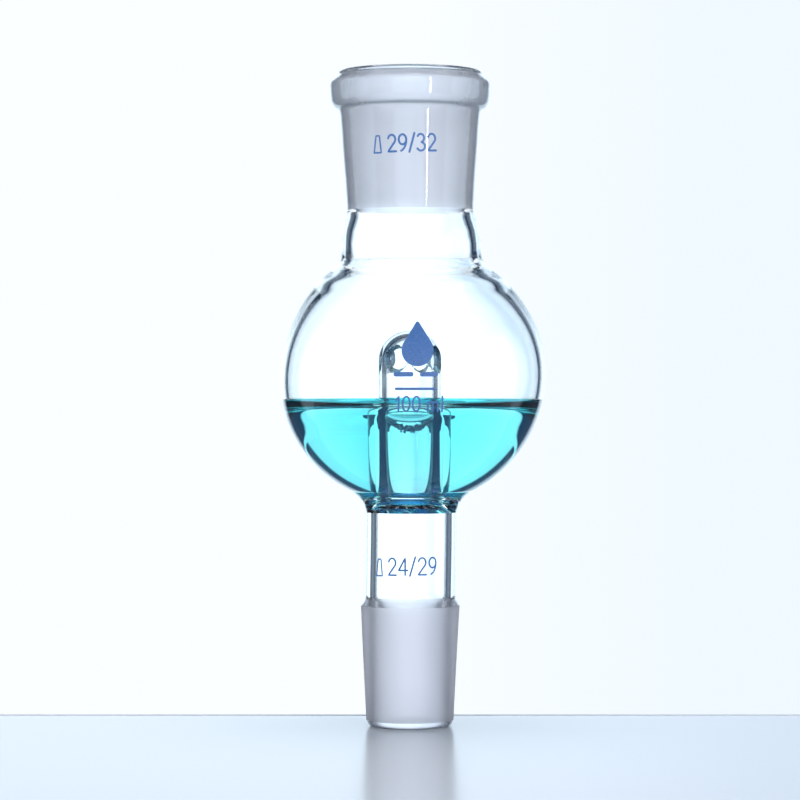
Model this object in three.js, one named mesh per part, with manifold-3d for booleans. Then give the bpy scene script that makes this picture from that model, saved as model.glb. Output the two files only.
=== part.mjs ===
// Bump trap for a rotary evaporator: a 100 ml bulb with a 29/32 ground socket on top, a 24/29 ground
// cone below, and a closed inner vapour tube with four drilled side holes. Some liquid is caught in
// the bulb. Millimetres, +Z up, with the origin at the middle of the cone's tip.
//
// Each glass blank is turned from a profile of (radius, height) points. Blanks that are fused to each
// other meet face to face on a flat plane.

import * as THREE from 'three';
import { mergeVertices } from 'three/addons/utils/BufferGeometryUtils.js';
import Module from 'manifold-3d';

const SIDES = 48;

// Ground joints: a taper of 1 in 10 on the diameter.
const TAPER = 1 / 20;
const CONE_MAJOR_R = 12.0;
const CONE_TOP_Z = 29.4;
const SOCKET_MAJOR_R = 14.6;
const SOCKET_MOUTH_Z = 157.3;
const SOCKET_LENGTH = 32;

// Heights of the planes where one blank meets the next.
const CONE_SEAM_Z = 31.5;
const SEAL_LOW_Z = 52;
const SEAL_HIGH_Z = 57;
const SHOULDER_SEAM_Z = 113;
const SOCKET_SEAM_Z = SOCKET_MOUTH_Z - SOCKET_LENGTH;
const TOP_Z = 159.3;

// Lower tube, shared by the cone blank, the lower neck and the ring seal.
const LOWER_OUTER_R = 11;
const LOWER_INNER_R = 8.6;

// Bulb: a sphere that gravity and blowing have made a little taller above its middle than below it.
const BULB = { z: 84.7, r: 32.2, up: 33.1, down: 31 };
const CHAMBER = { z: BULB.z, r: 30.5, up: 29.7, down: 29 };

// Upper neck, and the fillet where it opens into the bulb.
const NECK_OUTER_R = 16.9;
const NECK_INNER_R = 14.7;
const FILLET_OUTER_R = 17.5;
const FILLET_INNER_R = 14.9;
const SOCKET_FOOT_R = 15.45;
const SOCKET_BORE_R = SOCKET_MAJOR_R - TAPER * SOCKET_LENGTH;

// Inner vapour tube.
const TUBE_OUTER_R = 7.65;
const TUBE_INNER_R = 5.85;
const DOME_Z = 89.15;
const HOLE_R = 2.5;
const HOLE_FLARE = 0.45;
const HOLE_Z = 89.5;
const HOLE_COUNT = 4;
const HOLE_FIRST_DEG = -117.5;

// Rim bead of the socket and polished tip of the cone.
const BEAD_R = 19.5;
const TIP_R = 9.9;
const TIP_BORE_R = 8.9;

// Caught liquid.
const LIQUID_TOP_Z = 77.1;
const CLEARANCE = 0.3;

const clearGlass = new THREE.MeshStandardMaterial({
  color: 0xe6f2fa, roughness: 0.03, metalness: 0, transparent: true, opacity: 0.35,
});
const groundGlass = new THREE.MeshStandardMaterial({
  color: 0xd2dae4, roughness: 0.55, metalness: 0, transparent: true, opacity: 0.75,
});
const blueLiquid = new THREE.MeshStandardMaterial({
  color: 0x6edcff, roughness: 0.02, metalness: 0, transparent: true, opacity: 0.7,
});

// A solid of revolution about Z. The points run up the outside and down the inside.
function turned(points) {
  const profile = points.map(([r, z]) => new THREE.Vector2(r, z));
  const geometry = new THREE.LatheGeometry(profile, SIDES);
  return geometry.rotateX(Math.PI / 2);
}

function closed(points) {
  return turned([...points, points[0]]);
}

// Radius of an egg-shaped bulb surface at one height.
function eggRadius(egg, z) {
  const height = z > egg.z ? egg.up : egg.down;
  const level = (z - egg.z) / height;
  return egg.r * Math.sqrt(Math.max(0, 1 - level * level));
}

// Points of a bulb surface between two heights, evenly spaced in angle along the arc.
function eggArc(egg, fromZ, toZ, steps) {
  const angleAt = (z) => Math.asin((z - egg.z) / (z > egg.z ? egg.up : egg.down));
  const from = angleAt(fromZ);
  const to = angleAt(toZ);
  const points = [];
  for (let i = 0; i <= steps; i += 1) {
    const angle = from + ((to - from) * i) / steps;
    const height = angle > 0 ? egg.up : egg.down;
    points.push([egg.r * Math.cos(angle), egg.z + height * Math.sin(angle)]);
  }
  return points;
}

// Points of a round arc about (r, z), with angles in degrees from the outward radius.
function arc(r, z, radius, fromDeg, toDeg, steps) {
  const points = [];
  for (let i = 0; i <= steps; i += 1) {
    const angle = THREE.MathUtils.degToRad(fromDeg + ((toDeg - fromDeg) * i) / steps);
    points.push([r + radius * Math.cos(angle), z + radius * Math.sin(angle)]);
  }
  return points;
}

function solidOf(wasm, geometry) {
  const bare = geometry.clone();
  bare.deleteAttribute('normal');
  bare.deleteAttribute('uv');
  const merged = mergeVertices(bare);
  return new wasm.Manifold(new wasm.Mesh({
    numProp: 3,
    vertProperties: new Float32Array(merged.attributes.position.array),
    triVerts: new Uint32Array(merged.index.array),
  }));
}

function geometryOf(solid) {
  const mesh = solid.getMesh();
  const geometry = new THREE.BufferGeometry();
  geometry.setAttribute('position', new THREE.BufferAttribute(mesh.vertProperties, 3));
  geometry.setIndex(new THREE.BufferAttribute(mesh.triVerts, 1));
  geometry.computeVertexNormals();
  return geometry;
}

// Cone blank: polished tip, ground taper, short shoulder, and the bore through it.
function coneJoint() {
  const groundFootZ = 1.2;
  const groundFootR = CONE_MAJOR_R - TAPER * (CONE_TOP_Z - groundFootZ);
  return closed([
    [TIP_R, 0],
    [groundFootR - 0.15, 0.5],
    [groundFootR, groundFootZ],
    [CONE_MAJOR_R, CONE_TOP_Z],
    [LOWER_OUTER_R + 0.3, CONE_SEAM_Z - 0.9],
    [LOWER_OUTER_R, CONE_SEAM_Z],
    [LOWER_INNER_R, CONE_SEAM_Z],
    [LOWER_INNER_R, 1.5],
    [TIP_BORE_R, 0],
  ]);
}

function lowerNeck() {
  return closed([
    [LOWER_OUTER_R, CONE_SEAM_Z],
    [LOWER_OUTER_R, SEAL_LOW_Z],
    [LOWER_INNER_R, SEAL_LOW_Z],
    [LOWER_INNER_R, CONE_SEAM_Z],
  ]);
}

// Fused ring between the bulb's foot, the vapour tube and the lower neck. Its bore flares downward.
function ringSeal() {
  const footR = eggRadius(BULB, SEAL_HIGH_Z);
  return closed([
    [LOWER_OUTER_R, SEAL_LOW_Z],
    [11.3, 53],
    [11.9, 54.2],
    [12.9, 55.5],
    [footR, SEAL_HIGH_Z],
    [TUBE_INNER_R, SEAL_HIGH_Z],
    [TUBE_INNER_R, 56],
    [6.4, 54.6],
    [7.6, 53.1],
    [LOWER_INNER_R, SEAL_LOW_Z],
  ]);
}

// Cutter for one side hole, along +X: straight through the wall, and flared towards the outside.
function holeCutter() {
  const flareFrom = TUBE_INNER_R - 0.6;
  const end = TUBE_OUTER_R + 1.4;
  const profile = [
    [0, 2],
    [HOLE_R, 2],
    [HOLE_R, flareFrom],
    [HOLE_R + HOLE_FLARE * (end - flareFrom), end],
    [0, end],
  ].map(([r, z]) => new THREE.Vector2(r, z));
  const geometry = new THREE.LatheGeometry(profile, 20);
  geometry.rotateX(Math.PI / 2);
  return geometry.rotateY(Math.PI / 2);
}

function vapourTube(wasm) {
  const inside = arc(0, DOME_Z, TUBE_INNER_R, 90, 0, 6);
  const outside = arc(0, DOME_Z, TUBE_OUTER_R, 0, 90, 6);
  const tube = turned([...inside, [TUBE_INNER_R, SEAL_HIGH_Z], [TUBE_OUTER_R, SEAL_HIGH_Z], ...outside]);
  let solid = solidOf(wasm, tube);
  for (let i = 0; i < HOLE_COUNT; i += 1) {
    const cutter = holeCutter();
    cutter.rotateZ(THREE.MathUtils.degToRad(HOLE_FIRST_DEG + (360 * i) / HOLE_COUNT));
    cutter.translate(0, 0, HOLE_Z);
    solid = solid.subtract(solidOf(wasm, cutter));
  }
  return geometryOf(solid);
}

function bulb() {
  const outside = eggArc(BULB, SEAL_HIGH_Z, 111, 16);
  const inside = eggArc(CHAMBER, 105, SEAL_HIGH_Z, 14);
  return closed([
    ...outside,
    [18.35, 111.9],
    [FILLET_OUTER_R, SHOULDER_SEAM_Z],
    [FILLET_INNER_R, SHOULDER_SEAM_Z],
    [15.9, 111.5],
    [17.5, 110],
    [19.3, 108],
    ...inside,
  ]);
}

// Upper neck: a short wide tube that steps in to the socket blank.
function upperNeck() {
  return closed([
    [FILLET_OUTER_R, SHOULDER_SEAM_Z],
    [17.1, 114.3],
    [NECK_OUTER_R, 116.5],
    [NECK_OUTER_R - 0.05, 119.5],
    [16.3, 122.2],
    [SOCKET_FOOT_R + 0.1, 124.2],
    [SOCKET_FOOT_R, SOCKET_SEAM_Z],
    [SOCKET_BORE_R, SOCKET_SEAM_Z],
    [SOCKET_BORE_R + 0.1, 123.8],
    [13.7, 122],
    [14.35, 120.6],
    [NECK_INNER_R, 119.2],
    [NECK_INNER_R, 115],
    [FILLET_INNER_R, SHOULDER_SEAM_Z],
  ]);
}

// Socket blank: ground bore, thick rim bead, and a narrower polished lip above it.
function socketJoint() {
  return closed([
    [SOCKET_FOOT_R, SOCKET_SEAM_Z],
    [15.8, 132.8],
    [16.4, 140],
    [16.8, 146.5],
    [17.1, 149],
    [18.3, 150.4],
    [19.1, 151.3],
    [BEAD_R, 153.5],
    [BEAD_R, 156.2],
    [17.6, 158.1],
    [17.4, 158.9],
    [17.0, TOP_Z],
    [15.5, TOP_Z],
    [14.9, 158.4],
    [SOCKET_MAJOR_R, SOCKET_MOUTH_Z],
    [SOCKET_BORE_R, SOCKET_SEAM_Z],
  ]);
}

function trappedLiquid() {
  const wall = { z: CHAMBER.z, r: CHAMBER.r - CLEARANCE, up: CHAMBER.up, down: CHAMBER.down - CLEARANCE };
  const bottomZ = SEAL_HIGH_Z + CLEARANCE;
  const tubeSideR = TUBE_OUTER_R + CLEARANCE;
  return closed([
    ...eggArc(wall, bottomZ, LIQUID_TOP_Z, 10),
    [tubeSideR, LIQUID_TOP_Z],
    [tubeSideR, bottomZ],
  ]);
}

function node(name, geometry, material) {
  const mesh = new THREE.Mesh(geometry, material);
  mesh.name = name;
  return mesh;
}

const wasm = await Module();
wasm.setup();

const bumpTrap = new THREE.Group();
bumpTrap.add(
  node('socket_joint', socketJoint(), groundGlass),
  node('upper_neck', upperNeck(), clearGlass),
  node('bulb', bulb(), clearGlass),
  node('vapour_tube', vapourTube(wasm), clearGlass),
  node('ring_seal', ringSeal(), clearGlass),
  node('lower_neck', lowerNeck(), clearGlass),
  node('cone_joint', coneJoint(), groundGlass),
  node('trapped_liquid', trappedLiquid(), blueLiquid),
);

export default bumpTrap;
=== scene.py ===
"""A rotary-evaporator bump trap in clear glass, standing on a pale plate in a soft white studio.

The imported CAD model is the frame. Every glass blank is turned again here at a fine resolution, with
the true optical interfaces: air to glass, glass to liquid, and liquid to air. Where two blanks are
fused, their end faces let light straight through, so that the glass reads as one piece.
"""
import math

import bmesh
import bpy
from mathutils import Matrix, Vector, noise


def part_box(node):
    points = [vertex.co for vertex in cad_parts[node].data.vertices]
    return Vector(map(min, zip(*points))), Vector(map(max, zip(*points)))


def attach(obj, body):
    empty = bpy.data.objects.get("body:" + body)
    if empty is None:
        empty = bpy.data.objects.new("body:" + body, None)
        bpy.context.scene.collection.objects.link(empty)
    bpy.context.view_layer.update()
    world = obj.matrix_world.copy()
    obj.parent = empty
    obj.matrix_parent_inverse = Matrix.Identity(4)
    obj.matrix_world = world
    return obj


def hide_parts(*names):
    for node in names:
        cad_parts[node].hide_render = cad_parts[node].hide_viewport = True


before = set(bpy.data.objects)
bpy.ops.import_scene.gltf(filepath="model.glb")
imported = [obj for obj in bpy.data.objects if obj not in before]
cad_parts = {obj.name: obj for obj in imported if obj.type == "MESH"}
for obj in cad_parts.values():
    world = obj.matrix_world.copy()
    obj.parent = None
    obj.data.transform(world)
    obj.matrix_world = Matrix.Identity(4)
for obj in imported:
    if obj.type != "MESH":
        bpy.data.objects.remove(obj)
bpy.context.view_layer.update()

MM = 0.001

# Facets round a turned piece, the longest step along a straight stretch of its outline in millimetres, and the
# angle in degrees above which an edge stays sharp.
SIDES = 180
STEP = 0.7
SHARP = 35

# Optical constants.
GLASS_IOR = 1.474
LIQUID_IOR = 1.333
WET_IOR = GLASS_IOR / LIQUID_IOR

# Places read from the frame, in millimetres.
TOP_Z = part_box("socket_joint")[1].z / MM
SOCKET_SEAM_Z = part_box("socket_joint")[0].z / MM
SHOULDER_SEAM_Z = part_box("bulb")[1].z / MM
SEAL_HIGH_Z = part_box("ring_seal")[1].z / MM
SEAL_LOW_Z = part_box("ring_seal")[0].z / MM
CONE_SEAM_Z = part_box("cone_joint")[1].z / MM
CONE_MAJOR_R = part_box("cone_joint")[1].x / MM
LOWER_OUTER_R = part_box("lower_neck")[1].x / MM
TUBE_OUTER_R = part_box("vapour_tube")[1].x / MM
TUBE_TOP_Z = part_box("vapour_tube")[1].z / MM
LIQUID_TOP_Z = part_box("trapped_liquid")[1].z / MM

# Camera, in millimetres: it looks level along +Y, a little to the left of the joints' axis.
CAMERA_PLACE = (-2.4, -750, 79.3)
CAMERA_LENS = 138.7
CAMERA_SENSOR = 36

# How far the plate reaches behind the axis, in metres.
PLATE_BEHIND = 25 * MM

# Driving sizes of the outlines, in millimetres. JOINT_TAPER is how much a ground joint's radius grows for each
# millimetre of its length.
LOWER_INNER_R = 8.6
TUBE_INNER_R = 5.85
SOCKET_MOUTH_R = 14.6
SOCKET_MOUTH_Z = TOP_Z - 2
SOCKET_BORE_R = 13.0
SOCKET_FOOT_R = 15.45
CONE_FOOT_Z = 1.6
CONE_TOP_Z = 29.4
JOINT_TAPER = 1 / 20

# The bulb's outside and inside: half an ellipse up and another down from the widest height, in millimetres.
# Above BALL_TOP_Z and CHAMBER_TOP_Z they turn into the shoulder.
BULB = {"z": 84.7, "r": 32.2, "up": 33.1, "down": 31.0}
CHAMBER = {"z": 84.7, "r": 30.5, "up": 29.7, "down": 29.0}
BALL_TOP_Z = 109.0
CHAMBER_TOP_Z = 101.5

# The liquid climbs a wall by CLIMB, and a film-thin gap keeps it off the glass. Both are in millimetres.
CLIMB = 2.7
FILM = 0.02
EDGE_Z = LIQUID_TOP_Z + CLIMB

# The side holes of the vapour tube. Angles are in degrees round the axis, from +X.
HOLES = 4
HOLE_Z = 89.5
FIRST_HOLE = -117.5

# The bubbles lie in an arc this many degrees to each side of the tube's front.
BUBBLES = 300
BUBBLE_ARC = 34

# The pieces that follow the blown glass where it stands out of true.
BLOWN = ("cone_blank", "lower_neck_tube", "bulb_glass", "upper_neck_tube", "socket_blank", "socket_size_mark",
         "cone_size_mark", "volume_mark", "drop_mark")

# Where the blown glass leans to the right: the greatest shift, its height, and how far it spreads up and down.
LEANS = ((0.92, 94, 21), (0.35, 50, 18))

# Printed lines, in millimetres: their underside and top above the glass, the longest step along them, and half
# the width of their very tips.
PRINT_LOW = 0.01
PRINT_HIGH = 0.05
PRINT_STEP = 0.3
PRINT_TIP = 0.01


# ---------------------------------------------------------------- objects

def add_object(name, data):
    thing = bpy.data.objects.new(name, data)
    bpy.context.collection.objects.link(thing)
    return thing


def finish_shape(name, work, materials):
    """The object made from a finished bmesh."""
    mesh = bpy.data.meshes.new(name)
    work.to_mesh(mesh)
    work.free()
    for material in materials:
        mesh.materials.append(material)
    return add_object(name, mesh)


def add_staged_slab(name, size, centre, softening, segments, material):
    """A slab with softened edges that belongs to the studio. All measures are in metres."""
    work = bmesh.new()
    bmesh.ops.create_cube(work, size=1)
    bmesh.ops.scale(work, vec=size, verts=work.verts)
    bmesh.ops.translate(work, vec=centre, verts=work.verts)
    bmesh.ops.bevel(work, geom=work.edges[:], offset=softening, segments=segments, profile=0.5, affect="EDGES")
    finish_shape(name, work, [material])


def bridge(work, low, high):
    """Close the band between two rings of the same count."""
    for here in range(len(low)):
        after = (here + 1) % len(low)
        work.faces.new((low[here], low[after], high[after], high[here]))


# ---------------------------------------------------------------- shader nodes

def math_node(tree, operation, first, second=None):
    """The result of one sum, whose terms are numbers or sockets."""
    node = tree.nodes.new("ShaderNodeMath")
    node.operation = operation
    for socket, value in zip(node.inputs, (first, second)):
        if isinstance(value, (int, float)):
            socket.default_value = value
        elif value is not None:
            tree.links.new(value, socket)
    return node.outputs[0]


def weighted(tree, terms):
    """A sum of values, each times its own weight."""
    total = None
    for value, weight in terms:
        part = math_node(tree, "MULTIPLY", value, weight)
        total = part if total is None else math_node(tree, "ADD", total, part)
    return total


def ramp_node(tree, value, stops):
    """A colour ramp over a value from 0 to 1. The stops are (position, colour)."""
    node = tree.nodes.new("ShaderNodeValToRGB")
    elements = node.color_ramp.elements
    while len(elements) < len(stops):
        elements.new(0.5)
    for element, (position, colour) in zip(elements, stops):
        element.position = position
        element.color = (*colour, 1)
    tree.links.new(value, node.inputs[0])
    return node.outputs["Color"]


def blend_node(tree, share, first, second, kind="MIX"):
    """first where share is 0 and second where it is 1."""
    node = tree.nodes.new("ShaderNodeMix")
    node.data_type = "RGBA"
    node.blend_type = kind
    for socket, value in ((node.inputs["Factor"], share), (node.inputs[6], first), (node.inputs[7], second)):
        if isinstance(value, tuple):
            socket.default_value = (*value, 1)
        elif isinstance(value, (int, float)):
            socket.default_value = value
        else:
            tree.links.new(value, socket)
    return node.outputs[2]


def lit_within(tree, cosine, inner, outer):
    """1 where an angle, given by its cosine, is under inner degrees, and 0 where it is over outer."""
    near, far = math.cos(math.radians(inner)), math.cos(math.radians(outer))
    node = tree.nodes.new("ShaderNodeMapRange")
    node.interpolation_type = "SMOOTHSTEP"
    tree.links.new(cosine, node.inputs["Value"])
    node.inputs["From Min"].default_value = far
    node.inputs["From Max"].default_value = near
    return node.outputs["Result"]


def ease(tree, value, start, end):
    """0 where a value is at start, 1 where it is at end, and even between them."""
    node = tree.nodes.new("ShaderNodeMapRange")
    tree.links.new(value, node.inputs["Value"])
    node.inputs["From Min"].default_value = start
    node.inputs["From Max"].default_value = end
    return node.outputs["Result"]


def slope(tree, z, start, end):
    """0 at one elevation and 1 at another, in degrees, from the height of a direction."""
    return ease(tree, z, math.sin(math.radians(start)), math.sin(math.radians(end)))


# ---------------------------------------------------------------- camera and studio

def make_camera():
    data = bpy.data.cameras.new("camera")
    data.lens = CAMERA_LENS
    data.sensor_width = CAMERA_SENSOR
    camera = add_object("camera", data)
    camera.location = Vector(CAMERA_PLACE) * MM
    camera.rotation_euler = (math.pi / 2, 0, 0)
    bpy.context.scene.camera = camera


def make_world():
    """White walls all round, with dark flags between them that draw the dark edges of clear glass.

    This isn't one real room. Rays that have crossed the liquid's sides, mirrored rays and the camera's own rays
    are each given a different light, chosen so that the picture has the right darks and whites.
    """
    world = bpy.data.worlds.new("studio")
    bpy.context.scene.world = world
    world.use_nodes = True
    tree = world.node_tree
    tree.nodes.clear()
    place = tree.nodes.new("ShaderNodeTexCoord")
    split = tree.nodes.new("ShaderNodeSeparateXYZ")
    tree.links.new(place.outputs["Generated"], split.inputs[0])
    x, y, z = split.outputs
    path = tree.nodes.new("ShaderNodeLightPath")
    wet = math_node(tree, "GREATER_THAN", path.outputs["Transparent Depth"], 0.5)
    across = math_node(tree, "ADD", x, 0.5)

    flags = blend_node(tree, wet, (0.035, 0.058, 0.1), (0.018, 0.042, 0.1))
    lit = blend_node(tree, wall_share(tree, x, y, z, wet), flags, wall_white(tree, across, wet))
    room = add_floor_and_ceiling(tree, z, wet, path.outputs["Is Glossy Ray"], lit)

    # Seen directly, the wall is only just white.
    paper = ramp_node(tree, across, [(0.42, (0.962, 1.0, 1.0)), (0.5, (0.965, 1.0, 1.0)),
                                     (0.6, (0.87, 0.95, 1.0))])
    shown = blend_node(tree, path.outputs["Is Camera Ray"], room, paper)

    background = tree.nodes.new("ShaderNodeBackground")
    tree.links.new(shown, background.inputs["Color"])
    output = tree.nodes.new("ShaderNodeOutputWorld")
    tree.links.new(background.outputs[0], output.inputs["Surface"])


def wall_share(tree, x, y, z, wet):
    """1 on the white walls and 0 on the dark flags between them."""
    along_y = math_node(tree, "ABSOLUTE", y)
    along_x = math_node(tree, "ABSOLUTE", x)
    dry_wall = math_node(tree, "MAXIMUM", lit_within(tree, along_y, 21, 31), lit_within(tree, along_x, 24, 32))

    # The liquid's card narrows downwards. Another wall stands behind the camera.
    card_side = ease(tree, weighted(tree, ((z, 0.7), (along_x, -1.0))), -0.6, -0.57)
    card = math_node(tree, "MULTIPLY", lit_within(tree, y, 44, 47), card_side)
    towards_camera = math_node(tree, "MULTIPLY", y, -1.0)
    wet_wall = math_node(tree, "MAXIMUM", card, lit_within(tree, towards_camera, 62, 72))
    return blend_node(tree, wet, dry_wall, wet_wall)


def wall_white(tree, across, wet):
    """The walls' light. It is dimmer and bluer a little to the right of the view."""
    white = ramp_node(tree, across, [(0.25, (1.18, 1.27, 1.32)), (0.5, (1.22, 1.3, 1.34)),
                                     (0.56, (1.12, 1.2, 1.28)), (0.63, (0.86, 0.96, 1.06)),
                                     (0.75, (1.0, 1.12, 1.2)), (0.9, (1.1, 1.2, 1.3))])
    brightness = blend_node(tree, wet, (1.1, 1.24, 1.36), (1.0, 1.0, 1.0))
    return blend_node(tree, 1.0, white, brightness, "MULTIPLY")


def add_floor_and_ceiling(tree, z, wet, mirrored, lit):
    """The floor below and the ceiling above are pale all round. The glass hardly mirrors the floor."""
    unmirrored = math_node(tree, "SUBTRACT", 1.0, math_node(tree, "MULTIPLY", mirrored, 0.9))
    dry_floor = math_node(tree, "MULTIPLY", slope(tree, z, -6, -10), unmirrored)
    floor = blend_node(tree, wet, dry_floor, slope(tree, z, -50, -58))
    ceiling = blend_node(tree, wet, slope(tree, z, 56, 64), slope(tree, z, 80, 86))
    with_floor = blend_node(tree, floor, lit, (0.86, 0.94, 1.0))
    return blend_node(tree, ceiling, with_floor, (1.5, 1.48, 1.5))


def make_strip_light():
    """The tall strip box at the front right that draws a thin streak down the socket."""
    data = bpy.data.lights.new("strip", "AREA")
    data.shape = "RECTANGLE"
    data.size = 0.03
    data.size_y = 0.34
    data.energy = 0.9
    light = add_object("strip", data)
    light.location = (0.40, -0.72, 0.17)
    aim = Vector((0, 0, 0.12)) - light.location
    light.rotation_euler = aim.to_track_quat("-Z", "Y").to_euler()


def make_top_light():
    """A wide soft box overhead. It lights only matt things, so that it leaves no mirror image in the glass."""
    data = bpy.data.lights.new("overhead", "AREA")
    data.size = 1.2
    data.energy = 5.6
    data.color = (0.95, 0.98, 1.0)
    light = add_object("overhead", data)
    light.location = (0, -0.2, 1.3)
    light.visible_camera = False
    light.visible_glossy = False
    light.visible_transmission = False


def make_plate():
    """The pale glossy plate the glass stands on. It ends a little way behind the glass."""
    material, shader = principled("plate_white")
    shader.inputs["Base Color"].default_value = (0.95, 0.95, 0.985, 1)
    shader.inputs["Roughness"].default_value = 0.22
    shader.inputs["Specular IOR Level"].default_value = 0.1
    size = Vector((0.9, 0.75, 0.008))
    centre = (0, PLATE_BEHIND - size.y / 2, -size.z / 2)
    add_staged_slab("plate", size, centre, 0.0008, 3, material)


def make_plate_gap_painted_shade():
    """A thin, rough, bluish strip along the plate's far edge, which shows as a thin grey-blue line: painted
    shade for the shadowed gap behind the plate.
    """
    material, shader = principled("plate_gap_painted_shade")
    shader.inputs["Base Color"].default_value = (0.9, 0.92, 1.0, 1)
    shader.inputs["Roughness"].default_value = 0.6
    size = Vector((0.9, 0.0015, 0.008))
    add_staged_slab("plate_gap_painted_shade", size, (0, PLATE_BEHIND + 0.0008, -0.0039), 0.0002, 2, material)


# ---------------------------------------------------------------- materials

def principled(name):
    """A new material and its shader."""
    material = bpy.data.materials.new(name)
    material.use_nodes = True
    return material, material.node_tree.nodes["Principled BSDF"]


def add_bump(material, shader, scale, detail, strength, distance, stretch=(1, 1, 1)):
    """Fine relief from noise in the piece's own coordinates, stretched along an axis if asked."""
    tree = material.node_tree
    place = tree.nodes.new("ShaderNodeTexCoord")
    mapping = tree.nodes.new("ShaderNodeMapping")
    mapping.inputs["Scale"].default_value = stretch
    grain = tree.nodes.new("ShaderNodeTexNoise")
    grain.inputs["Scale"].default_value = scale
    grain.inputs["Detail"].default_value = detail
    bump = tree.nodes.new("ShaderNodeBump")
    bump.inputs["Strength"].default_value = strength
    bump.inputs["Distance"].default_value = distance
    tree.links.new(place.outputs["Object"], mapping.inputs[0])
    tree.links.new(mapping.outputs[0], grain.inputs["Vector"])
    tree.links.new(grain.outputs["Fac"], bump.inputs["Height"])
    tree.links.new(bump.outputs["Normal"], shader.inputs["Normal"])
    return grain


def glass(name, ior, roughness=0.0, colour=(0.985, 0.992, 0.995, 1)):
    """A clear refracting material, very slightly tinted unless a colour is given."""
    material, shader = principled(name)
    shader.inputs["Base Color"].default_value = colour
    shader.inputs["Roughness"].default_value = roughness
    shader.inputs["IOR"].default_value = ior
    shader.inputs["Transmission Weight"].default_value = 1
    return material, shader


def clear_glass():
    material, shader = glass("clear_glass", GLASS_IOR)
    add_bump(material, shader, 60, 1, 0.12, 0.00005)
    return material


def wet_glass():
    """The boundary between glass and liquid, which bends light much less than bare glass."""
    material, shader = glass("wet_glass", WET_IOR, colour=(1, 1, 1, 1))
    add_bump(material, shader, 60, 1, 0.12, 0.00005)
    return material


def ground_glass(name, colour, roughness):
    """Emery-ground glass, tinted: a fine frosted grain with faint marks round the axis."""
    # The tint is painted shade, which greys the frosted glass.
    material, shader = glass(name, GLASS_IOR, roughness, colour)
    add_bump(material, shader, 2500, 4, 0.35, 0.00004, (1, 1, 3))
    return material


def chipped_glass_painted_shade():
    """The rough, unpolished edge of a drilled hole. Its dark blue tint is painted shade, for the dark that the
    hole's walls take on.
    """
    material, shader = glass("chipped_glass_painted_shade", GLASS_IOR, 0.2, (0.22, 0.36, 0.5, 1))
    add_bump(material, shader, 1100, 3, 1.0, 0.0006)
    return material


def blue_enamel():
    """Fired print: blue, slightly glossy, with an uneven, faintly speckled coat."""
    material, shader = principled("blue_enamel")
    tree = material.node_tree
    coat = add_bump(material, shader, 2600, 3, 0.25, 0.00003)
    tint = ramp_node(tree, coat.outputs["Fac"], [(0.35, (0.085, 0.2, 0.52)), (0.65, (0.13, 0.27, 0.6))])
    tree.links.new(tint, shader.inputs["Base Color"])
    shader.inputs["Roughness"].default_value = 0.35
    return material


def liquid_surface():
    """The liquid's open top."""
    material, shader = glass("liquid_surface", LIQUID_IOR, colour=(1, 1, 1, 1))
    add_bump(material, shader, 80, 1, 0.05, 0.00003)
    add_dye(material)
    return material


def add_dye(material):
    """Blue dye: it takes red out of the light and leaves blue and green almost whole.

    It also glows a little. That stands in for light that the liquid scatters, and real liquid doesn't glow.
    """
    tree = material.node_tree
    dye = tree.nodes.new("ShaderNodeVolumeAbsorption")
    dye.inputs["Color"].default_value = (0.0, 0.945, 0.98, 1)
    dye.inputs["Density"].default_value = 36
    glow = tree.nodes.new("ShaderNodeEmission")
    glow.inputs["Color"].default_value = (0.02, 0.6, 1.0, 1)
    glow.inputs["Strength"].default_value = 0.3
    both = tree.nodes.new("ShaderNodeAddShader")
    tree.links.new(dye.outputs[0], both.inputs[0])
    tree.links.new(glow.outputs[0], both.inputs[1])
    tree.links.new(both.outputs[0], tree.nodes["Material Output"].inputs["Volume"])


def see_through(name):
    """An inner boundary with the same matter on both sides, so light goes straight on."""
    material = bpy.data.materials.new(name)
    material.use_nodes = True
    tree = material.node_tree
    tree.nodes.remove(tree.nodes["Principled BSDF"])
    clear = tree.nodes.new("ShaderNodeBsdfTransparent")
    tree.links.new(clear.outputs[0], tree.nodes["Material Output"].inputs["Surface"])
    return material


def liquid_side():
    """The liquid's sides. The wetted glass does the bending there, so they only bound the dye."""
    material = see_through("liquid_side")
    add_dye(material)
    return material


# ---------------------------------------------------------------- outlines

def egg_radius(egg, z):
    """The radius of a bulb surface at a height."""
    height = egg["up"] if z > egg["z"] else egg["down"]
    return egg["r"] * math.sqrt(max(0.0, 1 - ((z - egg["z"]) / height) ** 2))


def egg_arc(egg, from_z, to_z, steps=60):
    """Points along a bulb surface between two heights."""
    def angle_at(z):
        return math.asin((z - egg["z"]) / (egg["up"] if z > egg["z"] else egg["down"]))
    start, end = angle_at(from_z), angle_at(to_z)
    points = []
    for i in range(steps + 1):
        angle = start + (end - start) * i / steps
        height = egg["up"] if angle > 0 else egg["down"]
        points.append((egg["r"] * math.cos(angle), egg["z"] + height * math.sin(angle)))
    return points


def arc(r, z, radius, start, end, steps=24):
    """Points of a round arc about (r, z), with angles in degrees from outward."""
    points = []
    for i in range(steps + 1):
        angle = math.radians(start + (end - start) * i / steps)
        points.append((r + radius * math.cos(angle), z + radius * math.sin(angle)))
    return points


def smooth(points, pieces=8):
    """A smooth curve through the points (Catmull-Rom)."""
    padded = [points[0], *points, points[-1]]
    result = []
    for a, b, c, d in zip(padded, padded[1:], padded[2:], padded[3:]):
        for i in range(pieces):
            t = i / pieces
            result.append(tuple(
                0.5 * (2 * q + (r - p) * t + (2 * p - 5 * q + 4 * r - s) * t ** 2
                       + (3 * q - p - 3 * r + s) * t ** 3)
                for p, q, r, s in zip(a, b, c, d)))
    result.append(points[-1])
    return result


def straight(start, end):
    """Even steps along a straight line."""
    steps = max(1, round(math.dist(start, end) / STEP))
    return [tuple(a + (b - a) * i / steps for a, b in zip(start, end)) for i in range(steps + 1)]


# ---------------------------------------------------------------- turned pieces

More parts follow.
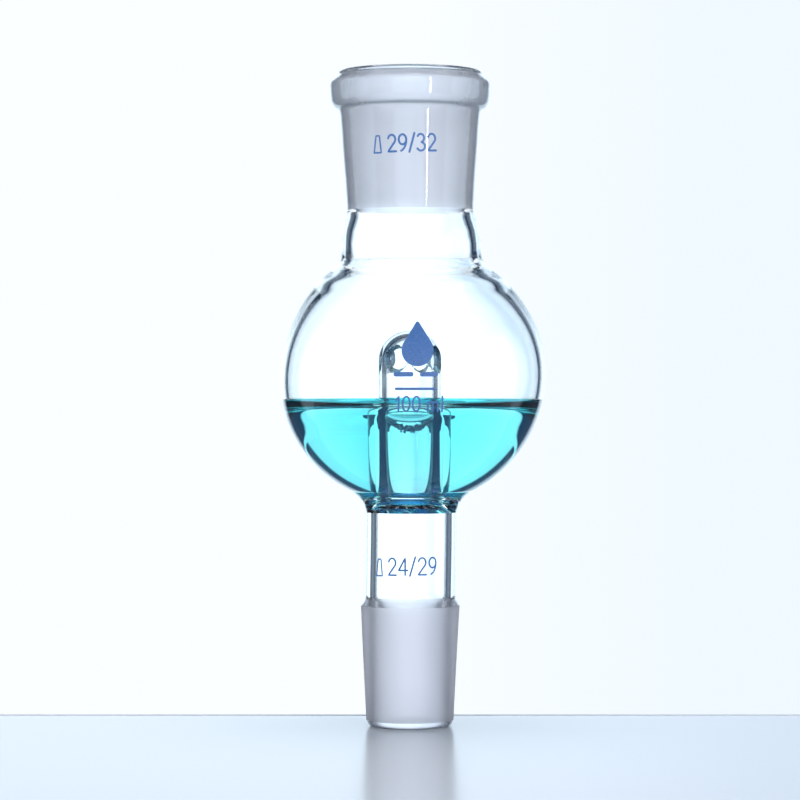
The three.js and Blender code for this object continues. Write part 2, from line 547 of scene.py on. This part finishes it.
def turned(name, strips, materials):
    """A solid of revolution from strips of (points in mm, material index), joined end to end.

    The outline that they make closes on itself, or starts and ends on the axis.
    """
    points = []
    bands = []
    for line, index in strips:
        fresh = line[1:] if points else line
        points += fresh
        bands += [index] * (len(line) - 1)
    if math.dist(points[0], points[-1]) < 1e-6:
        points.pop()
    loops = len(points) == len(bands)

    work = bmesh.new()
    rings = []
    for r, z in points:
        if r < 1e-6:
            rings.append([work.verts.new((0, 0, z * MM))] * SIDES)
            continue
        ring = []
        for i in range(SIDES):
            angle = math.tau * i / SIDES
            ring.append(work.verts.new((r * math.cos(angle) * MM, r * math.sin(angle) * MM, z * MM)))
        rings.append(ring)
    for j, index in enumerate(bands):
        low, high = rings[j], rings[(j + 1) % len(rings)] if loops else rings[j + 1]
        for i in range(SIDES):
            k = (i + 1) % SIDES
            corners = list(dict.fromkeys((low[i], low[k], high[k], high[i])))
            face = work.faces.new(corners)
            face.material_index = index
            face.smooth = True
    bmesh.ops.recalc_face_normals(work, faces=work.faces)
    if work.calc_volume(signed=True) < 0:
        bmesh.ops.reverse_faces(work, faces=work.faces)
    piece = finish_shape(name, work, materials)
    piece.data.set_sharp_from_angle(angle=math.radians(SHARP))
    return piece


def take_over(piece, node):
    """The piece stands for a CAD node."""
    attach(piece, "root")
    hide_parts(node)


def seam(start_r, end_r, z):
    """A flat end face, where one piece of glass is fused to the next."""
    return [(start_r, z), (end_r, z)]


def make_cone(clear, ground, joined):
    foot_r = CONE_MAJOR_R - (CONE_TOP_Z - CONE_FOOT_Z) * JOINT_TAPER
    lip = (8.75, 0.4)
    bore_foot = (LOWER_INNER_R, 1.5)
    tip = smooth([lip, (9.0, 0.08), (9.3, 0.02), (9.8, 0.3), (10.25, 0.85), (foot_r, CONE_FOOT_Z)])
    taper = straight((foot_r, CONE_FOOT_Z), (CONE_MAJOR_R, CONE_TOP_Z))
    shoulder = smooth([(CONE_MAJOR_R, CONE_TOP_Z), (LOWER_OUTER_R + 0.62, 30.0), (LOWER_OUTER_R + 0.2, 30.8),
                       (LOWER_OUTER_R, CONE_SEAM_Z)])
    cap = seam(LOWER_OUTER_R, LOWER_INNER_R, CONE_SEAM_Z)
    bore = straight((LOWER_INNER_R, CONE_SEAM_Z), bore_foot)
    mouth = smooth([bore_foot, (LOWER_INNER_R + 0.03, 0.9), lip])
    piece = turned("cone_blank", [(tip, 0), (taper, 1), (shoulder, 0), (cap, 2), (bore, 0), (mouth, 0)],
                   [clear, ground, joined])
    take_over(piece, "cone_joint")


def make_lower_neck(clear, joined):
    outside = straight((LOWER_OUTER_R, CONE_SEAM_Z), (LOWER_OUTER_R, SEAL_LOW_Z))
    top = seam(LOWER_OUTER_R, LOWER_INNER_R, SEAL_LOW_Z)
    inside = straight((LOWER_INNER_R, SEAL_LOW_Z), (LOWER_INNER_R, CONE_SEAM_Z))
    foot = seam(LOWER_INNER_R, LOWER_OUTER_R, CONE_SEAM_Z)
    piece = turned("lower_neck_tube", [(outside, 0), (top, 1), (inside, 0), (foot, 1)], [clear, joined])
    take_over(piece, "lower_neck")


def make_ring_seal(clear, wet, joined):
    foot_r = egg_radius(BULB, SEAL_HIGH_Z)
    groove_r = egg_radius(CHAMBER, SEAL_HIGH_Z)
    outside = smooth([(LOWER_OUTER_R, SEAL_LOW_Z), (11.2, 52.9), (11.8, 54.2), (12.8, 55.6),
                      (foot_r, SEAL_HIGH_Z)])
    under_bulb = seam(foot_r, groove_r, SEAL_HIGH_Z)
    groove = seam(groove_r, TUBE_OUTER_R, SEAL_HIGH_Z)
    under_tube = seam(TUBE_OUTER_R, TUBE_INNER_R, SEAL_HIGH_Z)
    flare = smooth([(TUBE_INNER_R, SEAL_HIGH_Z), (TUBE_INNER_R, 56.2), (6.3, 54.9), (7.5, 53.3),
                    (LOWER_INNER_R, SEAL_LOW_Z)])
    foot = seam(LOWER_INNER_R, LOWER_OUTER_R, SEAL_LOW_Z)
    piece = turned("ring_seal_glass",
                   [(outside, 0), (under_bulb, 2), (groove, 1), (under_tube, 2), (flare, 0), (foot, 2)],
                   [clear, wet, joined])
    take_over(piece, "ring_seal")


def split_at(curve, z):
    """A rising curve cut in two at one height."""
    for i, ((r1, z1), (r2, z2)) in enumerate(zip(curve, curve[1:])):
        if z1 <= z <= z2:
            share = (z - z1) / (z2 - z1)
            cut = (r1 + (r2 - r1) * share, z)
            return [*curve[:i + 1], cut], [cut, *curve[i + 1:]]
    raise ValueError("the curve does not reach that height")


def shoulder_curves():
    """The outside and inside of the glass from the bulb's top to the socket, both rising.

    Each runs on past its ends along the neighbouring surface, so that no slope changes at a join.
    """
    outside = smooth([*egg_arc(BULB, 107.0, 110.9, 3),
                      (18.4, 111.85), (17.7, 112.65), (17.3, 113.6), (17.06, 115.0), (16.94, 117.0),
                      (16.86, 118.9), (16.62, 120.5), (16.25, 122.0), (15.87, 123.4), (15.6, 124.9),
                      (SOCKET_FOOT_R, 126.6), (15.6, 129.0)])
    inside = smooth([*egg_arc(CHAMBER, 98.0, 105.0, 4),
                     (20.6, 106.75), (19.1, 108.05), (17.6, 109.2), (16.3, 110.25), (15.3, 111.5),
                     (14.82, 112.85), (14.7, 114.4), (14.69, 116.6), (14.6, 118.4), (14.3, 120.2),
                     (13.88, 121.7), (13.45, 123.1), (13.15, 124.5), (SOCKET_BORE_R, SOCKET_SEAM_Z),
                     (12.95, 127.2)])
    outside = split_at(split_at(outside, BALL_TOP_Z)[1], SOCKET_SEAM_Z)[0]
    inside = split_at(split_at(inside, CHAMBER_TOP_Z)[1], SOCKET_SEAM_Z)[0]
    return outside, inside


def make_bulb(clear, wet, joined):
    outside, inside = shoulder_curves()
    shoulder = split_at(outside, SHOULDER_SEAM_Z)[0]
    collar = split_at(inside, SHOULDER_SEAM_Z)[0][::-1]
    cap = [shoulder[-1], collar[0]]
    ball = egg_arc(BULB, SEAL_HIGH_Z, BALL_TOP_Z, 90)
    dry = egg_arc(CHAMBER, CHAMBER_TOP_Z, EDGE_Z, 60)
    soaked = egg_arc(CHAMBER, EDGE_Z, SEAL_HIGH_Z, 50)
    foot = [soaked[-1], ball[0]]
    shoulder[0] = ball[-1]
    collar[-1] = dry[0]
    piece = turned("bulb_glass",
                   [(ball, 0), (shoulder, 0), (cap, 2), (collar, 0), (dry, 0), (soaked, 1), (foot, 2)],
                   [clear, wet, joined])
    take_over(piece, "bulb")


def make_upper_neck(clear, joined):
    outside, inside = shoulder_curves()
    outside = split_at(outside, SHOULDER_SEAM_Z)[1]
    inside = split_at(inside, SHOULDER_SEAM_Z)[1][::-1]
    cap = [outside[-1], inside[0]]
    foot = [inside[-1], outside[0]]
    piece = turned("upper_neck_tube", [(outside, 0), (cap, 1), (inside, 0), (foot, 1)], [clear, joined])
    take_over(piece, "upper_neck")


def make_socket(clear, ground, joined):
    neck_end = shoulder_curves()[0][-1]
    side = [(SOCKET_FOOT_R, 126.6), (15.6, 129), (15.85, 133), (16.4, 140), (16.8, 146), (17.1, 149)]
    collar = [(17.5, 149.9), (18.5, 150.6), (19.15, 151.6), (19.4, 153), (19.5, 154.5), (19.5, 156.1)]
    lip = [(19.1, 156.8), (18.1, 157.7), (17.55, 158.3), (17.5, 158.8), (17.1, 159.2), (16.4, TOP_Z),
           (15.7, 159.15), (15.2, 158.6), (SOCKET_MOUTH_R, SOCKET_MOUTH_Z)]
    outside = smooth([neck_end, *side, *collar, *lip])
    bore = straight((SOCKET_MOUTH_R, SOCKET_MOUTH_Z), (SOCKET_BORE_R, SOCKET_SEAM_Z))
    foot = [bore[-1], outside[0]]
    piece = turned("socket_blank", [(outside, 0), (bore, 1), (foot, 2)], [clear, ground, joined])
    take_over(piece, "socket_joint")


# ---------------------------------------------------------------- vapour tube and liquid

def make_vapour_tube(clear, wet, joined, chipped):
    dome_z = TUBE_TOP_Z - TUBE_OUTER_R
    inside = arc(0, dome_z, TUBE_INNER_R, 90, 0)
    bore = straight((TUBE_INNER_R, dome_z), (TUBE_INNER_R, SEAL_HIGH_Z))
    foot = seam(TUBE_INNER_R, TUBE_OUTER_R, SEAL_HIGH_Z)
    soaked = straight((TUBE_OUTER_R, SEAL_HIGH_Z), (TUBE_OUTER_R, EDGE_Z))
    dry = straight((TUBE_OUTER_R, EDGE_Z), (TUBE_OUTER_R, dome_z))
    outside = arc(0, dome_z, TUBE_OUTER_R, 0, 90)
    piece = turned("domed_tube",
                   [(inside, 0), (bore, 0), (foot, 2), (soaked, 1), (dry, 0), (outside, 0)],
                   [clear, wet, joined, chipped])
    drill_holes(piece, chipped)
    take_over(piece, "vapour_tube")


def drill_holes(piece, chipped):
    """Side holes near the dome, ground out roughly, so each one flares and chips at the surface."""
    for i in range(HOLES):
        tool = rough_drill(i, chipped)
        tool.data.transform(Matrix.Translation((0, 0, HOLE_Z * MM)) @ Matrix.Rotation(hole_turn(i), 4, "Z"))
        cut_away(piece, tool)


def hole_turn(i):
    """The way one hole faces, in radians round the axis."""
    return math.radians(FIRST_HOLE + 360 * i / HOLES)


def rough_drill(seed, chipped):
    """A flaring, uneven cutter along +X."""
    outline = [(2.0, 2.5), (4.0, 2.45), (5.2, 2.5), (5.9, 2.75), (6.6, 3.05), (7.2, 3.3), (7.8, 3.65),
               (8.4, 4.0)]
    sides = 56
    work = bmesh.new()
    rings = []
    for depth, radius in smooth(outline, 4):
        rough = max(0.0, min(1.0, depth - 4.6))
        ring = []
        for k in range(sides):
            angle = math.tau * k / sides
            across, up = math.cos(angle), math.sin(angle)
            chip = noise.noise((across * 2.2 + seed * 7, up * 2.2, depth * 0.9))
            fine = noise.noise((across * 7 + seed * 3, up * 7, depth * 3))
            wide = radius + rough * (0.22 * chip + 0.12 * fine)
            ring.append(work.verts.new((depth * MM, wide * across * MM, wide * up * MM)))
        rings.append(ring)
    for low, high in zip(rings, rings[1:]):
        bridge(work, low, high)
    work.faces.new(rings[0])
    work.faces.new(rings[-1])
    bmesh.ops.recalc_face_normals(work, faces=work.faces)
    for face in work.faces:
        face.smooth = True
    return finish_shape("drill", work, [chipped])


def cut_away(piece, tool):
    """Cut a tool's shape out of a piece. The cut keeps the tool's material."""
    cut = piece.modifiers.new("hole", "BOOLEAN")
    cut.operation = "DIFFERENCE"
    cut.solver = "EXACT"
    cut.object = tool
    cut.material_mode = "TRANSFER"
    bake_modifiers(piece)
    bpy.data.objects.remove(tool)


def bake_modifiers(piece):
    """Keep the mesh as the piece's modifiers leave it."""
    graph = bpy.context.evaluated_depsgraph_get()
    mesh = bpy.data.meshes.new_from_object(piece.evaluated_get(graph))
    piece.modifiers.clear()
    piece.data = mesh


def meniscus(wall_r, towards, steepest=74, steps=70):
    """The liquid's curved edge, from its contact with a wall at wall_r to the flat surface.

    This is the exact shape of a wetting liquid at a long wall: at a slope a, its height is
    2 L sin(a / 2), for a capillary length L. towards is 1 or -1, for the side the liquid is on.
    """
    slopes = [math.radians(steepest * (1 - i / steps) + 0.8) for i in range(steps + 1)]
    length = CLIMB / (2 * math.sin(slopes[0] / 2))

    def reach(slope):
        return length * (-math.log(math.tan(slope / 4)) - 2 * math.cos(slope / 2))

    level = 2 * length * math.sin(slopes[-1] / 2)
    return [(wall_r + towards * (reach(slope) - reach(slopes[0])),
             LIQUID_TOP_Z - level + 2 * length * math.sin(slope / 2)) for slope in slopes]


def make_liquid(surface, side):
    """The caught liquid. It climbs the bulb wall and the tube in a meniscus."""
    wall = {**CHAMBER, "r": CHAMBER["r"] - FILM, "down": CHAMBER["down"] - FILM}
    tube_r = TUBE_OUTER_R + FILM
    bottom = SEAL_HIGH_Z + FILM
    wall_side = egg_arc(wall, bottom, EDGE_Z, 60)
    at_wall = meniscus(wall_side[-1][0], -1)
    at_tube = meniscus(tube_r, 1)[::-1]
    at_wall[0] = wall_side[-1]
    top = [*at_wall, *straight(at_wall[-1], at_tube[0])[1:-1], *at_tube]
    tube_side = straight(top[-1], (tube_r, bottom))
    foot = [tube_side[-1], wall_side[0]]
    piece = turned("liquid_body", [(wall_side, 1), (top, 0), (tube_side, 1), (foot, 1)], [surface, side])
    take_over(piece, "trapped_liquid")


def make_bubbles():
    """Fine air bubbles in the liquid, caught against the front of the tube in a shallow arc. Their dark blue
    tint is painted shade, since air has no colour.
    """
    # Painted shade: the bubbles' surface is tinted dark blue.
    material, shader = glass("air_bubbles_painted_shade", 1 / LIQUID_IOR, colour=(0.03, 0.14, 0.32, 1))
    add_bump(material, shader, 900, 2, 0.1, 0.00002)
    work = bmesh.new()
    for i in range(BUBBLES):
        share = (i + 0.5) / BUBBLES
        angle = math.radians(BUBBLE_ARC * (2 * share - 1) + 1.6 * noise.noise((i * 1.7, 0.3, 0.9)))
        radius = 0.2 + 0.12 * noise.noise((0.4, i * 2.3, 0.7))
        sag = math.cos(angle * 90 / BUBBLE_ARC)
        height = LIQUID_TOP_Z - 0.5 - 1.9 * sag + 1.5 * sag * noise.noise((0.9, 0.2, i * 3.1))
        reach = TUBE_OUTER_R + FILM + radius + 0.05
        centre = Vector((reach * math.sin(angle), -reach * math.cos(angle), height)) * MM
        bmesh.ops.create_icosphere(work, subdivisions=2, radius=radius * MM, matrix=Matrix.Translation(centre))
    for face in work.faces:
        face.smooth = True
    piece = finish_shape("bubbles", work, [material])
    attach(piece, "root")


# ---------------------------------------------------------------- printed marks

def ring(x, y, half_width, half_height, start=0, end=360, steps=28):
    """Points round an oval, or part of one. Angles are in degrees from the right."""
    angles = [math.radians(start + (end - start) * i / steps) for i in range(steps + 1)]
    return [(x + half_width * math.cos(a), y + half_height * math.sin(a)) for a in angles]


# Each sign's width and its strokes, in a cell 1 high, with x to the right and y up.
SIGNS = {
    "0": (0.62, [ring(0.31, 0.5, 0.24, 0.45)]),
    "1": (0.42, [[(0.08, 0.72), (0.26, 0.95), (0.26, 0.05)]]),
    "2": (0.6, [[*ring(0.3, 0.7, 0.22, 0.25, 165, -32, 16), (0.07, 0.05), (0.55, 0.05)]]),
    "3": (0.58, [[*ring(0.27, 0.73, 0.2, 0.22, 150, -90, 16),
                  *ring(0.27, 0.28, 0.24, 0.23, 90, -150, 18)]]),
    "4": (0.62, [[(0.44, 0.05), (0.44, 0.95), (0.06, 0.3), (0.58, 0.3)]]),
    "9": (0.6, [ring(0.3, 0.68, 0.22, 0.27, 0, 360),
                ring(0.1, 0.68, 0.42, 0.63, 0, -75, 14)]),
    "/": (0.42, [[(0.04, 0.0), (0.36, 1.0)]]),
    "m": (0.86, [[(0.1, 0.05), (0.1, 0.62)],
                 [*ring(0.27, 0.45, 0.16, 0.17, 170, 0, 12), (0.43, 0.05)],
                 [*ring(0.6, 0.45, 0.17, 0.17, 180, 0, 12), (0.77, 0.05)]]),
    "l": (0.28, [[(0.12, 0.95), (0.12, 0.05)]]),
    " ": (0.3, []),
}

# How far the strokes are squeezed across their cells.
SIGN_WIDTH = 0.92


def in_steps(line, gap=PRINT_STEP):
    """The line again in short, even steps."""
    points = [line[0]]
    for start, end in zip(line, line[1:]):
        steps = max(1, math.ceil(math.dist(start, end) / gap))
        points += [tuple(a + (b - a) * i / steps for a, b in zip(start, end)) for i in range(1, steps + 1)]
    return points


def laid_on(radius_at, left, base, lean=0.0):
    """How a flat mark lies on the front of a turned surface: from (x, y) in millimetres and a lift to a place.

    left and base are where the mark's own zero lies, and lean tilts it, in degrees.
    """
    turn = math.radians(lean)

    def place(x, y, lift):
        across = (left + x) * math.cos(turn) - y * math.sin(turn)
        height = base + (left + x) * math.sin(turn) + y * math.cos(turn)
        r = radius_at(height) + lift
        angle = across / r
        return Vector((r * math.sin(angle), -r * math.cos(angle), height)) * MM

    return place


def directions(line):
    """The way a line runs at each of its points."""
    runs = []
    for before, after in zip([line[0], *line], [*line[1:], line[-1]]):
        run = Vector(after) - Vector(before)
        runs.append(run.normalized() if run.length > 1e-9 else Vector((1, 0)))
    return runs


def round_end(point, run, half, steps=5):
    """Rows (x, y, half width) that round off a line's end, from the tip inwards. run points outwards."""
    rows = []
    for i in range(steps):
        swing = math.pi / 2 * i / steps
        rows.append((point[0] + run.x * half * math.cos(swing), point[1] + run.y * half * math.cos(swing),
                     half * math.sin(swing) + PRINT_TIP))
    return rows


def stroke(work, line, width, place):
    """A printed line: a thin raised ribbon with round ends, laid on the glass by place(x, y, lift)."""
    half = width / 2
    runs = directions(line)
    rows = [(*row, runs[0]) for row in round_end(line[0], -runs[0], half)]
    rows += [(x, y, half, run) for (x, y), run in zip(line, runs)]
    rows += [(*row, runs[-1]) for row in round_end(line[-1], runs[-1], half)[::-1]]
    rings = []
    for x, y, reach, run in rows:
        left = (x - run.y * reach, y + run.x * reach)
        right = (x + run.y * reach, y - run.x * reach)
        corners = ((left, PRINT_LOW), (left, PRINT_HIGH), (right, PRINT_HIGH), (right, PRINT_LOW))
        rings.append([work.verts.new(place(*corner, lift)) for corner, lift in corners])
    for low, high in zip(rings, rings[1:]):
        bridge(work, low, high)
    work.faces.new(rings[0])
    work.faces.new(rings[-1])


def write(work, text, height, width, place):
    """Print a line of signs, laid on the glass by place(x, y, lift)."""
    pen = 0.0
    for sign in text:
        advance, lines = SIGNS[sign]
        for line in lines:
            drawn = [(pen + x * height * SIGN_WIDTH, y * height) for x, y in line]
            stroke(work, in_steps(drawn), width, place)
        pen += advance * height


def cone_sign(work, place):
    """A small tapered outline that stands for a ground joint."""
    outline = [(0.0, 0.0), (1.9, 0.0), (1.4, 4.0), (0.5, 4.0), (0.0, 0.0)]
    stroke(work, in_steps(outline), 0.4, place)


def finish_mark(work, name, material):
    """Make the printed lines into one piece."""
    bmesh.ops.recalc_face_normals(work, faces=work.faces)
    piece = finish_shape(name, work, [material])
    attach(piece, "root")


def bulb_r(z):
    return egg_radius(BULB, z)


def neck_r(z):
    return LOWER_OUTER_R


def socket_r(z):
    """The socket's straight side, where its size is printed."""
    return 16.4 + (z - 140) * (0.45 / 6.5)


def make_joint_marks(enamel):
    """Each joint's size, beside a small cone outline."""
    work = bmesh.new()
    write(work, "29/32", 4.4, 0.5, laid_on(socket_r, -5.6, 138.4, 1.5))
    cone_sign(work, laid_on(socket_r, -9.0, 138.3))
    finish_mark(work, "socket_size_mark", enamel)

    work = bmesh.new()
    write(work, "24/29", 4.5, 0.42, laid_on(neck_r, -5.9, 37.1, 1.0))
    cone_sign(work, laid_on(neck_r, -9.3, 37.0))
    finish_mark(work, "cone_size_mark", enamel)


def make_volume_mark(enamel):
    """The volume, under two short thick bars and a long thin one."""
    work = bmesh.new()
    write(work, "100 ml", 3.8, 0.42, laid_on(bulb_r, -4.2, 76.5))
    for start, end, level, width in ((-4.2, -0.6, 85.3, 1.1), (2.0, 5.2, 85.3, 1.1), (-4.0, 5.0, 81.9, 0.6)):
        stroke(work, in_steps([(start, 0), (end, 0)]), width, laid_on(bulb_r, 0, level))
    finish_mark(work, "volume_mark", enamel)


def make_drop_mark(enamel):
    """A plain drop, filled by the same outline drawn smaller and smaller."""
    work = bmesh.new()
    tip = (0.0, 5.6)
    drop = [tip, *ring(0.0, -0.7, 3.3, 3.3, 28, -208, 30), tip]
    for scale in (1.0, 0.78, 0.56, 0.34, 0.14):
        shape = [(x * scale, y * scale) for x, y in drop]
        stroke(work, in_steps(shape, 0.25), 0.9, laid_on(bulb_r, 0.8, 91.6))
    finish_mark(work, "drop_mark", enamel)


# ---------------------------------------------------------------- hand work

def out_of_true(z):
    """How far the blown glass stands to the right of the joints' axis at a height, in millimetres."""
    return sum(shift * math.exp(-((z - height) / spread) ** 2) for shift, height, spread in LEANS)


def lean_partly(name, near, far):
    """Move a piece out of true by a share of what the blown glass around it moves.

    Points at or inside the near radius stay where they are, and points at or beyond far(z) move all the way.
    """
    for vertex in bpy.data.objects[name].data.vertices:
        x, y, z = (value / MM for value in vertex.co)
        share = (math.hypot(x, y) - near) / (far(z) - near)
        vertex.co.x += max(0.0, min(1.0, share)) * out_of_true(z) * MM


def lean_blown_glass():
    """The tube stays on the axis, so the pieces between it and the wall take up the difference."""
    for name in BLOWN:
        for vertex in bpy.data.objects[name].data.vertices:
            vertex.co.x += out_of_true(vertex.co.z / MM) * MM
    lean_partly("ring_seal_glass", TUBE_OUTER_R, lambda z: LOWER_INNER_R)
    lean_partly("liquid_body", TUBE_OUTER_R + FILM, lambda z: egg_radius(CHAMBER, z) - FILM)


# ---------------------------------------------------------------- build

def make_studio():
    make_camera()
    make_world()
    make_strip_light()
    make_top_light()
    make_plate()
    make_plate_gap_painted_shade()
    scene = bpy.context.scene
    scene.view_settings.view_transform = "Standard"
    scene.cycles.max_bounces = 32
    scene.cycles.transmission_bounces = 32
    scene.cycles.transparent_max_bounces = 32


def make_trap():
    clear = clear_glass()
    wet = wet_glass()
    joined = see_through("fused_glass")
    enamel = blue_enamel()
    # Painted shade: the cone's ground glass is tinted much darker than the socket's, though it is the same
    # glass.
    make_cone(clear, ground_glass("cone_ground_glass", (0.73, 0.665, 0.685, 1), 0.56), joined)
    make_lower_neck(clear, joined)
    make_ring_seal(clear, wet, joined)
    make_bulb(clear, wet, joined)
    make_upper_neck(clear, joined)
    make_socket(clear, ground_glass("socket_ground_glass", (0.925, 0.857, 0.87, 1), 0.75), joined)
    make_vapour_tube(clear, wet, joined, chipped_glass_painted_shade())
    make_liquid(liquid_surface(), liquid_side())
    make_bubbles()
    make_joint_marks(enamel)
    make_volume_mark(enamel)
    make_drop_mark(enamel)
    lean_blown_glass()


make_studio()
make_trap()
